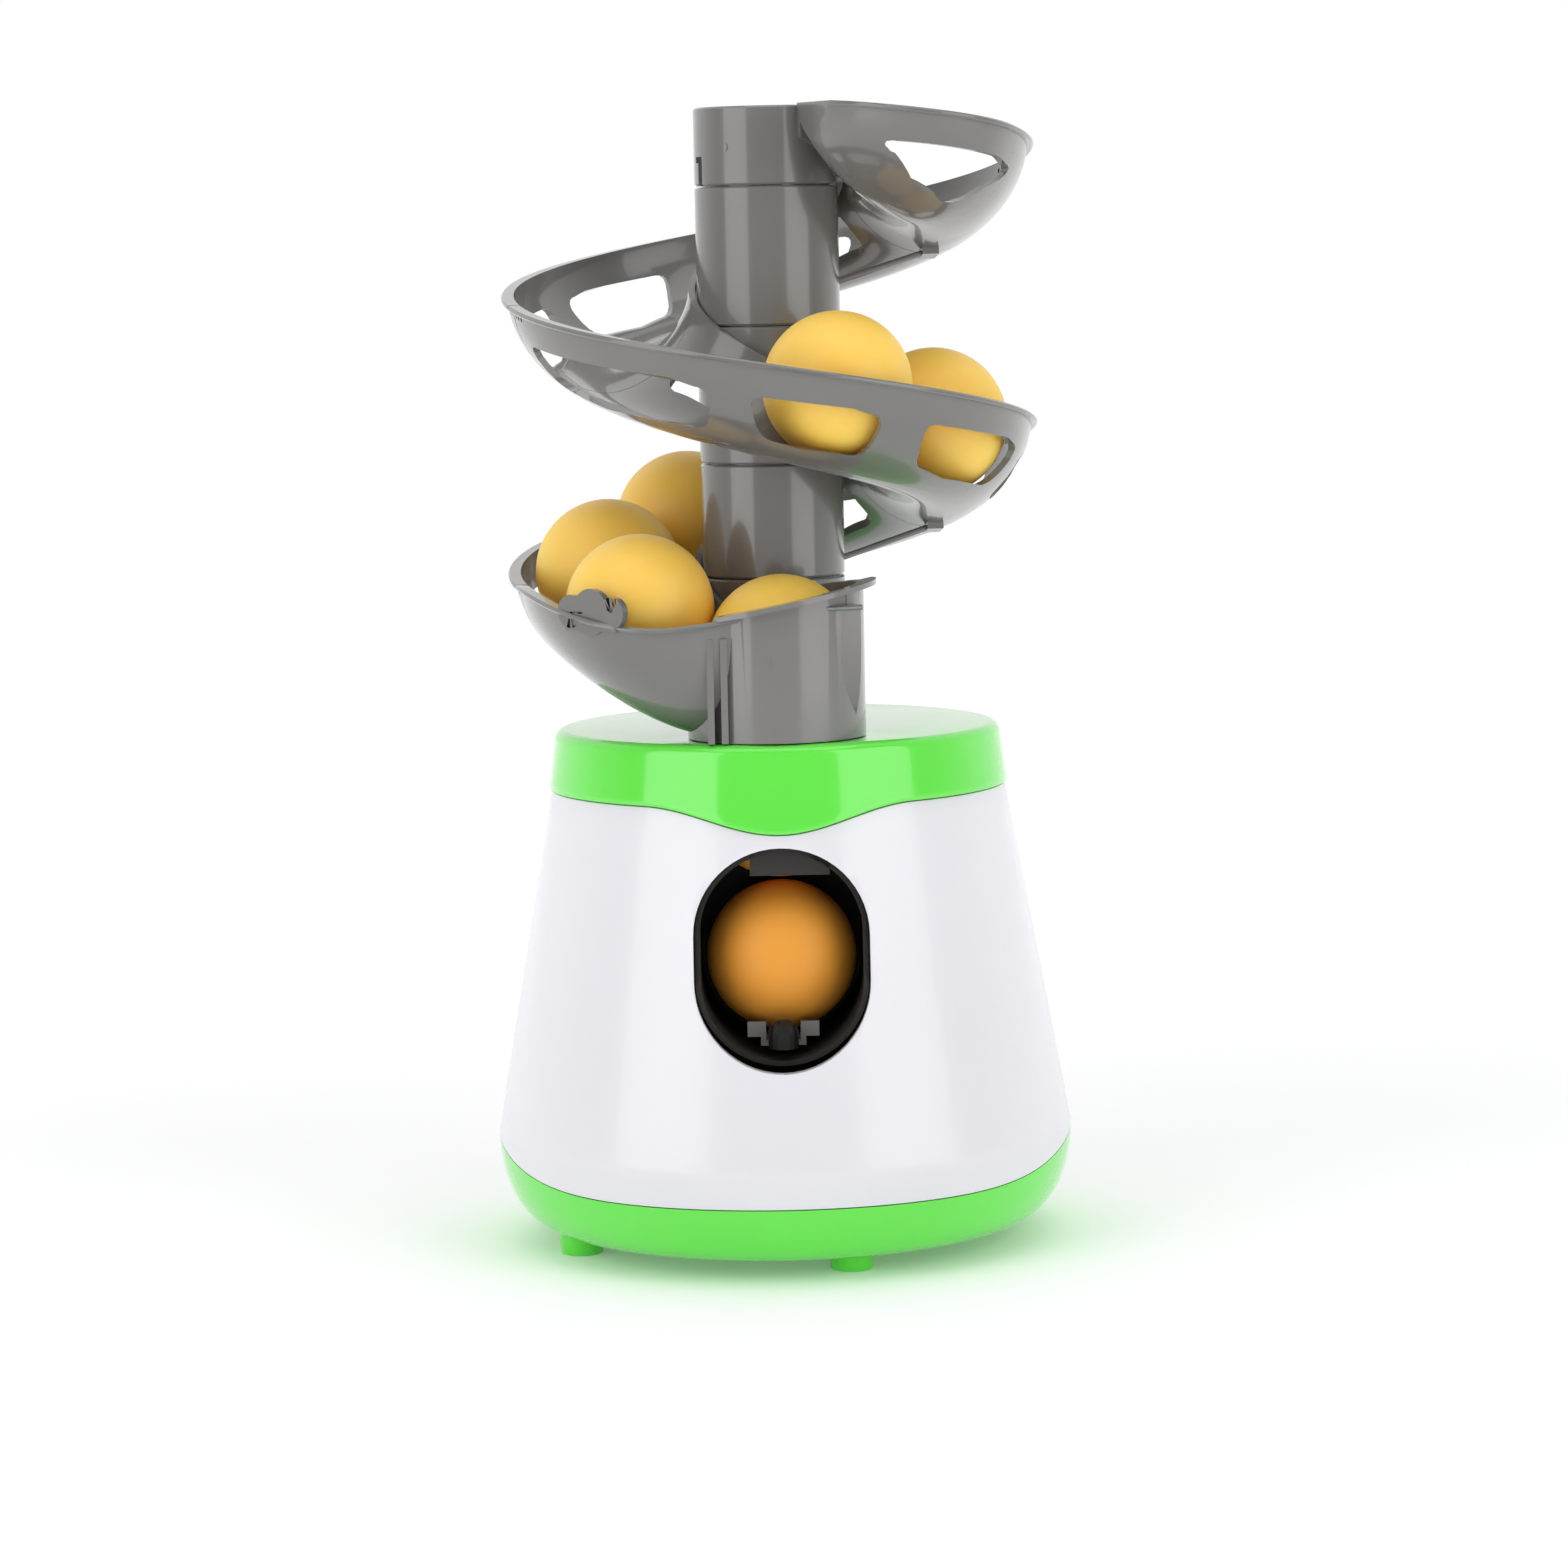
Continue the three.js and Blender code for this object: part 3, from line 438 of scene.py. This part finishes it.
def cap_profile(angle):
    front = math.sin(angle) < 0
    low = (edge_height(angle, skirt_r, swoop_at, SKIRT_Z) if front else SKIRT_Z) + GAP / 2
    corner = [(CAP_R - CAP_CORNER + CAP_CORNER * math.sin(t), CAP_TOP - CAP_CORNER + CAP_CORNER * math.cos(t))
              for t in between(0, math.pi / 2, 7)]
    side = [(skirt_r(z), z) for z in between(CAP_TOP - 4, low + 0.5, 8)]
    hem = [(skirt_r(low) - 0.15, low + 0.15), (skirt_r(low) - 0.5, low), (skirt_r(low) - CAP_WALL, low)]
    inner = [(skirt_r(z) - CAP_WALL, z) for z in between(low + 1, CAP_TOP - 4, 6)]
    under = CAP_TOP - CAP_WALL
    return [(0, CAP_TOP), *corner, *side, *hem, *inner, (CAP_R - CAP_CORNER - CAP_WALL, under), (0, under)]


def top_cap():
    obj = mesh_from("top_cap_shell", around(cap_profile))
    hole = turned([(0, 100), (CHUTE_OUT - 0.9, 100), (CHUTE_OUT - 0.9, 160), (0, 160)], (0, CHUTE_Y))
    bore = turned([(0, 100), (11, 100), (11, 160), (0, 160)], (0, TOWER_Y))
    combine(obj, [hole, bore])
    return dress(obj, "green_shell", "machine", "top_cap")


# ---- tower ------------------------------------------------------------------
def rim_z(deg):
    return RIM_START - (START_PITCH if deg < 0 else PITCH) * deg / 360


def fullness(deg):
    if deg >= FULL_DEG:
        return 1
    left = (FULL_DEG - deg) / (FULL_DEG - START_DEG + 3)
    return math.sqrt(1 - left * left)


def ease(t):
    return t * t * (3 - 2 * t)


def clamp(t):
    return min(1, max(0, t))


def half_pipe(inner, outer, top, floor, square):
    """Points down one side of a trough, along its floor and up the other, from the inner side."""
    mid, half = (inner + outer) / 2, (outer - inner) / 2
    points = []
    for i in range(SECTION_ARC + 1):
        turn = math.pi * i / SECTION_ARC
        across = math.copysign(abs(math.cos(turn)) ** square, math.cos(turn))
        points.append((mid - half * across, top - (top - floor) * math.sin(turn) ** square))
    return points


def rolled_rim(outer, top):
    """The rim's outline outside a wall, from its underside up to its top."""
    edge = outer + RIM_LIP
    return [(outer, top - LIP_H), (edge - LIP_EDGE, top - LIP_H), (edge, top - LIP_H + LIP_EDGE),
            (edge, top - LIP_EDGE), (edge - LIP_EDGE, top)]


def shell_section(inner, outer, top, floor, square, hollow=1):
    """A trough with its wall and a rolled rim. hollow falls to 0 where the trough closes."""
    outside = half_pipe(inner, outer, top, floor, square)[:-1]
    mid = (inner + outer) / 2
    half = max(0.2, ((outer - inner) / 2 - TRACK_WALL) * hollow)
    deep = max(0.2, (top - floor - TRACK_WALL) * hollow)
    inside = half_pipe(mid - half, mid + half, top, top - deep, square)
    return outside + rolled_rim(outer, top) + inside[::-1]


def trough_section(deg):
    size = fullness(deg)
    outer = max(TRACK_IN + 3, TRACK_IN + (TRACK_OUT - TRACK_IN) * size)
    floor = rim_z(deg) - max(3, TRACK_DEPTH * size)
    hollow = math.sqrt(clamp((deg - START_DEG - 0.5) / 9))
    return shell_section(TRACK_IN, outer, rim_z(deg), floor, TRACK_SQUARE, hollow)


def follow(r0, r1, z0, z1):
    """A rectangular section that keeps its height from the track's rim."""
    corners = [(r0, z0), (r1, z0), (r1, z1), (r0, z1)]
    return lambda deg: [(r, rim_z(deg) + z) for r, z in corners]


def polar(deg, r, z):
    a = math.radians(deg)
    return (r * math.cos(a), TOWER_Y + r * math.sin(a), z)


def outer_window(corners, radius=WINDOW_CORNER, middle=66):
    """A round-cornered opening in the outer wall, its corners given as (degrees, height from the rim)."""
    per_deg = math.radians(1) * middle
    flat = rounded([(deg * per_deg, z) for deg, z in corners], radius)
    return extruded([(a / per_deg, z) for a, z in flat],
                    lambda deg, z, r: polar(deg, r, rim_z(deg) + z), 38, 84)


def inner_window(start, end, r0=22.5, r1=32.5):
    """An opening through the inner side of the floor."""
    per_deg = math.radians(1) * (r0 + r1) / 2
    low, high = start * per_deg, end * per_deg
    flat = rounded([(low, r0), (high, r0), (high, r1), (low, r1)], WINDOW_CORNER)
    return extruded([(a / per_deg, r) for a, r in flat],
                    lambda deg, r, z: polar(deg, r, rim_z(deg) + z), -28, -11)


def band(start, end, top=-9.2, low=-20.6, flare=2.2):
    """The corners of a track window, wider along the top rail than at the floor."""
    return [(start, top), (end, top), (end - flare, low), (start + flare, low)]


def column(z0, z1):
    """One module's length of column, its edges eased so that the joint shows as a line."""
    low, high, inner = z0 + GAP / 2, z1 - GAP / 2, COLUMN_R - COLUMN_WALL
    edge = 0.5
    return turned([(inner, low), (COLUMN_R - edge, low), (COLUMN_R, low + edge), (COLUMN_R, high - edge),
                   (COLUMN_R - edge, high), (inner, high)], (0, TOWER_Y))


def collar(z):
    """The spigot that the next module sits on."""
    outer = COLUMN_R - COLUMN_WALL - GAP
    inner, low, high = outer - SPIGOT_WALL, z - SPIGOT_LOW, z + SPIGOT_HIGH
    return turned([(inner, low), (outer, low), (outer, high), (inner, high)], (0, TOWER_Y))


def clip(deg):
    """The catch under a joint between two troughs."""
    outline = [(deg - 3.2, 43), (deg + 3.2, 43), (deg + 3.2, 47.5), (deg - 3.2, 47.5)]
    low = -TRACK_DEPTH - 1.6
    return extruded(outline, lambda a, r, z: polar(a, r, rim_z(a) + z), low, low + 2.6)


def strut(deg):
    """The thin stay from the column to the catch."""
    start = Vector(polar(deg - 16, COLUMN_R - 1, rim_z(deg) - 34))
    end = Vector(polar(deg, 44, rim_z(deg) - 26.5))
    line = end - start
    frame_of = line.to_track_quat("Z", "Y").to_matrix()
    thick = 0.85
    ring = [(thick * math.cos(math.pi * k / 5), thick * math.sin(math.pi * k / 5)) for k in range(10)]
    return extruded(ring, lambda a, b, t: tuple(start + line * t + frame_of @ Vector((a, b, 0))), 0, 1)


def rim_notches(deg, side):
    """Small catches' slots just under the rim at the end of a trough."""
    cuts = []
    for k in range(3):
        at = deg + side * (2.2 + 1.9 * k)
        low, high = at - NOTCH_HALF_DEG, at + NOTCH_HALF_DEG
        outline = [(low, NOTCH_LOW), (high, NOTCH_LOW), (high, NOTCH_TOP), (low, NOTCH_TOP)]
        cuts.append(extruded(outline, lambda a, z, r: polar(a, r, rim_z(a) + z), 66, 80))
    return cuts


def bayonet_slot(z):
    """The slot up from a joint that the next module's pin turns into."""
    outline = [(201, z - 1), (208, z - 1), (208, z + 8), (195, z + 8), (195, z + 6.4), (201, z + 6.4)]
    return extruded(outline, lambda a, height, r: polar(a, r, height), COLUMN_R - 1.2, COLUMN_R + 1)


def pip(centre, radius, deg, z):
    """A small moulding mark that stands proud of a round wall."""
    a = math.radians(deg)
    ring = [(0.55 * math.cos(math.pi * k / 8), 1.1 * math.sin(math.pi * k / 8)) for k in range(16)]
    return extruded(ring, lambda across, up, r: (centre[0] + r * math.cos(a) - across * math.sin(a),
                                                 centre[1] + r * math.sin(a) + across * math.cos(a), z + up),
                    radius - 0.5, radius + 0.22)


def track_module(name, cad_node, z0, z1, start, end, outer, inner, joint=None):
    first = start if start == START_DEG else start + 0.2
    obj = mesh_from(name, swept(trough_section, first, end - 0.2))
    cuts = [outer_window(corners, 7 if len(corners) == 3 else WINDOW_CORNER) for corners in outer]
    cuts += [inner_window(a, b) for a, b in inner]
    cuts += rim_notches(end, -1)
    if start != START_DEG:
        cuts += rim_notches(start, 1)
    combine(obj, cuts)
    web = swept(follow(COLUMN_R - 0.6, TRACK_IN + 1, -9, -1.5), first + 1, end - 1)
    parts = [web]
    if joint is not None:
        parts += [clip(joint - 3.6), strut(joint - 3.6)]
    if z1 < COLUMN_TOP:
        parts.append(collar(z1))
    else:
        lid_r, low, high = COLUMN_R - 0.9, z1 - 1.4, z1 - GAP
        parts.append(turned([(0, low), (lid_r, low), (lid_r, high), (0, high)], (0, TOWER_Y)))
    tube = mesh_from("tube", column(z0, z1))
    if start == START_DEG:
        combine(tube, [bayonet_slot(z0)])
        parts.append(pip((0, TOWER_Y), COLUMN_R, 237, 298.3))
    attach(obj, [tube, *(mesh_from("part", part) for part in parts)])
    return dress(obj, "grey_track", "machine", cad_node)


# ---- feed cup ---------------------------------------------------------------
def cup_turn(deg):
    return clamp((deg - CUP_FROM) / (CUP_TO - 20 - CUP_FROM))


def cup_rim(deg):
    dip = (rim_z(CUP_FROM) - CUP_FRONT_Z) * ease(min(1, cup_turn(deg) * 1.5))
    rise = 9 * (max(0, cup_turn(deg) - 0.6) / 0.4) ** 1.5 * 0.55
    return rim_z(CUP_FROM) - dip + rise


def cup_out(deg):
    bulge = 2.9 * math.sin(math.pi * clamp((deg - CUP_FROM) / 65))
    return TRACK_OUT + bulge - 10.8 * ease(clamp((deg - 588) / 44))


def cup_floor(deg, inset):
    base = rim_z(CUP_FROM) - TRACK_DEPTH
    return base - (base - CAP_TOP - GAP) * ease(min(1, cup_turn(deg) * 1.35)) + inset


def cup_square(deg):
    return TRACK_SQUARE - (TRACK_SQUARE - CUP_SQUARE) * ease(clamp((deg - 590) / 40))


def cup_solid(deg):
    out, top = cup_out(deg), cup_rim(deg)
    pipe = half_pipe(TRACK_IN, out, top, cup_floor(deg, 0), cup_square(deg))[:-1]
    return pipe + rolled_rim(out, top)


def cup_void(deg):
    out, top = cup_out(deg) - TRACK_WALL, cup_rim(deg)
    inner = TRACK_IN + TRACK_WALL
    pipe = half_pipe(inner, out, top, cup_floor(deg, TRACK_WALL), cup_square(deg))
    return [*pipe, (out, top + 8), (inner, top + 8)]


def tube_solid(radius, z0, z1, centre, segments=96):
    return turned([(0, z0), (radius, z0), (radius, z1), (0, z1)], centre, segments)


def chute_rim(x):
    return CHUTE_RIM_Z + CHUTE_RIM_RISE * x


def slanted(drop):
    """Everything above the chute's sloping rim, lowered by drop."""
    outline = [(-90, chute_rim(-90) - drop), (90, chute_rim(90) - drop), (90, 300), (-90, 300)]
    return along_y(outline, -90, 90)


def feed_cup():
    chute = (0, CHUTE_Y)
    obj = mesh_from("feed_cup_shell", swept(cup_solid, CUP_FROM + 0.2, CUP_TO))
    tube = mesh_from("tube", tube_solid(CHUTE_OUT, CAP_TOP + GAP, 190, chute))
    combine(tube, [slanted(0)])
    start, end, reach = math.radians(234), math.radians(377), CHUTE_OUT + CHUTE_FLANGE
    outline = [(reach * math.cos(a), CHUTE_Y + reach * math.sin(a)) for a in between(start, end, 48)]
    outline += [(18 * math.cos(a), CHUTE_Y + 18 * math.sin(a)) for a in between(end, start, 24)]
    flange = extruded(outline, lambda a, b, drop: (a, b, chute_rim(a) - drop), LIP_H, 0.01)
    combine_objects(obj, [tube, mesh_from("flange", flange)], "UNION")
    combine(obj, [swept(cup_void, CUP_FROM - 2, CUP_TO - 3), tube_solid(CHUTE_BORE, CAP_TOP - 1, 200, chute)])
    stub = mesh_from("stub", column(CAP_TOP, COLUMN_SEAMS[3]))
    combine(stub, [tube_solid(CHUTE_BORE, 100, 200, chute)])
    ribs = []
    for x0, x1 in ((-18.2, -16.4), (-14.6, -12.8)):
        rib = mesh_from("rib", block(x0, x1, CHUTE_Y - 21.8, CHUTE_Y - 14, CAP_TOP + GAP, CUP_FRONT_Z - 3))
        combine(rib, [tube_solid(CHUTE_BORE, 100, 200, chute)])
        ribs.append(rib)
    petals = []
    for shift, radius in TAB_LOBES:
        petals.append([(shift + radius * math.cos(t), radius * math.sin(t))
                       for t in (2 * math.pi * k / 40 for k in range(40))])
    tab = mesh_from("tab", along_y(petals[0], -1, 1))
    combine(tab, [along_y(petals[1], -1, 1), along_y(petals[2], -1, 1), block(-9, 9, -1, 1, -5, 0)], "UNION")
    tab.data.transform(Matrix.Translation(Vector(polar(TAB_DEG, TAB_R, TAB_Z)) * MM)
                       @ Matrix.Rotation(math.radians(TAB_DEG - 90), 4, "Z"))
    marks = [mesh_from("mark", pip(chute, CHUTE_OUT, 266, 163.2)),
             mesh_from("mark", pip((0, TOWER_Y), COLUMN_R, 246, 179))]
    attach(obj, [stub, tab, mesh_from("spigot", collar(COLUMN_SEAMS[3])), *ribs, *marks])
    return dress(obj, "grey_track", "machine", "feed_cup")


# ---- launch parts -----------------------------------------------------------
def launch_sleeve():
    front, back = -62, -12
    obj = mesh_from("launch_sleeve_shell", along_y(obround(PORT_W - 0.6, PORT_H - 0.6, PORT_Z), front, back))
    neck = tube_solid(CHUTE_OUT - 1.6, PORT_Z + 12, CAP_TOP - 5, (0, CHUTE_Y))
    combine(obj, [neck], "UNION")
    combine(obj, [along_y(obround(PORT_W - 3.4, PORT_H - 3.4, PORT_Z), front - 5, back - 2),
                  tube_solid(CHUTE_BORE - 0.8, PORT_Z, 200, (0, CHUTE_Y)),
                  along_y([(STRIKER_BORE * math.cos(t), LAUNCH_Z + STRIKER_BORE * math.sin(t))
                           for t in (2 * math.pi * k / 48 for k in range(48))], -20, 0)])
    stop = mesh_from("stop", block(-8, 13, -59.6, -56.8, 107, 116))
    inside = [(body_r(z) - CONE_WALL - 1, z) for z in between(40, 140, 10)]
    core = turned([(0, 40), *inside, (0, 140)], (0, 0), 128)
    combine(obj, [core], "INTERSECT")
    combine(stop, [core], "INTERSECT")
    # The sleeve is drawn in the near-black copy, not its own grey: painted shade inside the port.
    return dress(attach(obj, [stop]), "grey_inner", "machine", "launch_sleeve", look="painted_shade_inner")


def ball(cad_node):
    """A fine sphere where the CAD ball is."""
    low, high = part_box(cad_node)
    centre = [(a + b) / 2 / MM for a, b in zip(low, high)]
    profile = [(BALL_R * math.sin(t), -BALL_R * math.cos(t)) for t in between(0, math.pi, 40)]
    points, faces = turned(profile, (centre[0], centre[1]), 80)
    obj = mesh_from(f"{cad_node}_skin", ([(x, y, z + centre[2]) for x, y, z in points], faces))
    # The balls in the port and the chute get the darker skin, painted shade for the shadow there.
    look = "painted_shade_ball" if cad_node in ("ball_in_port", "ball_in_chute") else None
    return dress(obj, "ball_orange", "machine", cad_node, smooth_deg=180, look=look)


base_tray()
cone_housing()
top_cap()
feed_cup()
launch_sleeve()

seam_a, seam_b, seam_c, seam_d = COLUMN_SEAMS
track_module("track_lower_shell", "track_lower", seam_d, seam_c, 375, 555,
             [band(a, b) for a, b in ((385, 417), (424, 460), (467, 500), (507, 545))],
             [(388, 425), (435, 475), (485, 530)], 555)
track_module("track_middle_shell", "track_middle", seam_c, seam_b, 195, 375,
             [band(a, b) for a, b in ((201, 257), (265, 296), (306, 345), (352, 370))],
             [(208, 250), (300, 345)], 375)
track_module("track_upper_shell", "track_upper", seam_b, seam_a, 15, 195,
             [band(a, b) for a, b in ((25, 60), (68, 106), (115, 148), (155, 189))],
             [(30, 68), (80, 118), (130, 175)], 195)
track_module("tower_top_shell", "tower_top", seam_a, COLUMN_TOP, START_DEG, 15,
             [[(-57, -8.8), (-15, -9.8), (-33, -23.5)]], [(-42, -18)], 15)

for name in sorted(frame["nodes"]):
    if name.startswith("ball_") and name != "ball_cradle":
        ball(name)

# ---- CAD nodes that stay ------------------------------------------------------
SLOT_OF = {row["node"]: row["material_slot"] for row in frame["record"]["subparts"]}
STAYING = ["chassis", "ball_cradle", "cradle_knob", "striker_rod", "striker_tip", "striker_spring",
           "drive_gear", "idler_gear", "motor_pinion", "drive_axle", "idler_axle", "motor", "battery_door",
           *(f"battery_{k}" for k in range(1, 5)), "contact_plate_front", "contact_plate_rear",
           "switch_housing", "switch_slider"]
SOFT_EDGE = {"ball_cradle": 0.25, "cradle_knob": 0.3, "switch_housing": 0.5, "switch_slider": 0.35,
             "battery_door": 0.3}
for name in STAYING:
    part = frame["nodes"][name]
    part.data.materials.clear()
    part.data.materials.append(MATERIALS[SLOT_OF[name]])
    if name in SOFT_EDGE:
        soft = part.modifiers.new("edges", "BEVEL")
        soft.width, soft.segments, soft.limit_method = SOFT_EDGE[name] * MM, 2, "ANGLE"

# ---- studio -------------------------------------------------------------------
bpy.context.scene.view_settings.view_transform = "Standard"
FLOOR_SIZE = 12.0


def studio_floor():
    mesh = bpy.data.meshes.new("floor")
    half = FLOOR_SIZE / 2
    corners = [(-half, -half, 0), (half, -half, 0), (half, half, 0), (-half, half, 0)]
    mesh.from_pydata(corners, [], [(0, 1, 2, 3)])
    floor = bpy.data.objects.new("floor", mesh)
    bpy.context.scene.collection.objects.link(floor)
    mat = bpy.data.materials.new("floor")
    mat.use_nodes = True
    shader = mat.node_tree.nodes["Principled BSDF"]
    shader.inputs["Base Color"].default_value = (0.90, 0.90, 0.90, 1)
    shader.inputs["Roughness"].default_value = 0.8
    # The floor glows, dimly near the middle and more strongly further out: painted light that carries the
    # floor to white around the object.
    shader.inputs["Emission Color"].default_value = (1, 1, 1, 1)
    place = mat.node_tree.nodes.new("ShaderNodeTexCoord")
    reach = mat.node_tree.nodes.new("ShaderNodeVectorMath")
    reach.operation = "LENGTH"
    fade = node(mat.node_tree, "ShaderNodeMapRange")
    for key, value in (("From Min", 0.25), ("From Max", 1.3), ("To Min", 0.12), ("To Max", 0.42)):
        fade.inputs[key].default_value = value
    mat.node_tree.links.new(place.outputs["Object"], reach.inputs[0])
    mat.node_tree.links.new(reach.outputs["Value"], fade.inputs["Value"])
    mat.node_tree.links.new(fade.outputs["Result"], shader.inputs["Emission Strength"])
    mesh.materials.append(mat)


def studio_sky():
    """Bright behind the object and greyer behind the camera, so that gloss has something to show."""
    world = bpy.data.worlds.new("studio")
    bpy.context.scene.world = world
    world.use_nodes = True
    tree = world.node_tree
    tree.nodes.clear()
    out = tree.nodes.new("ShaderNodeOutputWorld")
    sky = node(tree, "ShaderNodeBackground", Strength=1.0)
    place = tree.nodes.new("ShaderNodeTexCoord")
    split = tree.nodes.new("ShaderNodeSeparateXYZ")
    ramp = tree.nodes.new("ShaderNodeValToRGB")
    dim, bright = ramp.color_ramp.elements
    dim.position, dim.color = 0.42, (0.38, 0.38, 0.39, 1)
    bright.position, bright.color = 0.72, (1.0, 1.0, 1.0, 1)
    half = node(tree, "ShaderNodeMapRange")
    half.inputs["From Min"].default_value = -1
    tree.links.new(place.outputs["Generated"], split.inputs["Vector"])
    tree.links.new(split.outputs["Y"], half.inputs["Value"])
    tree.links.new(half.outputs["Result"], ramp.inputs["Fac"])
    tree.links.new(ramp.outputs["Color"], sky.inputs["Color"])
    tree.links.new(sky.outputs["Background"], out.inputs["Surface"])


def softbox(name, azimuth, elevation, distance, width, height, watts):
    """An upright panel of light. Azimuth 0 is behind the camera, and positive is to the right."""
    light = bpy.data.lights.new(name, "AREA")
    light.shape, light.size, light.size_y, light.energy = "RECTANGLE", width, height, watts
    lamp = bpy.data.objects.new(name, light)
    bpy.context.scene.collection.objects.link(lamp)
    a, e = math.radians(azimuth), math.radians(elevation)
    target = Vector((0, 0, 0.17))
    back = Vector((math.sin(a) * math.cos(e), -math.cos(a) * math.cos(e), math.sin(e)))
    lamp.location = target + back * distance
    lamp.rotation_mode = "QUATERNION"
    lamp.rotation_quaternion = (-back).to_track_quat("-Z", "Y")


studio_floor()
studio_sky()
softbox("key_left", -50, 8, 1.6, 1.15, 2.0, 13)
softbox("key_right", 50, 8, 1.6, 1.15, 2.0, 12)
softbox("overhead", 0, 75, 1.6, 1.6, 1.2, 8)
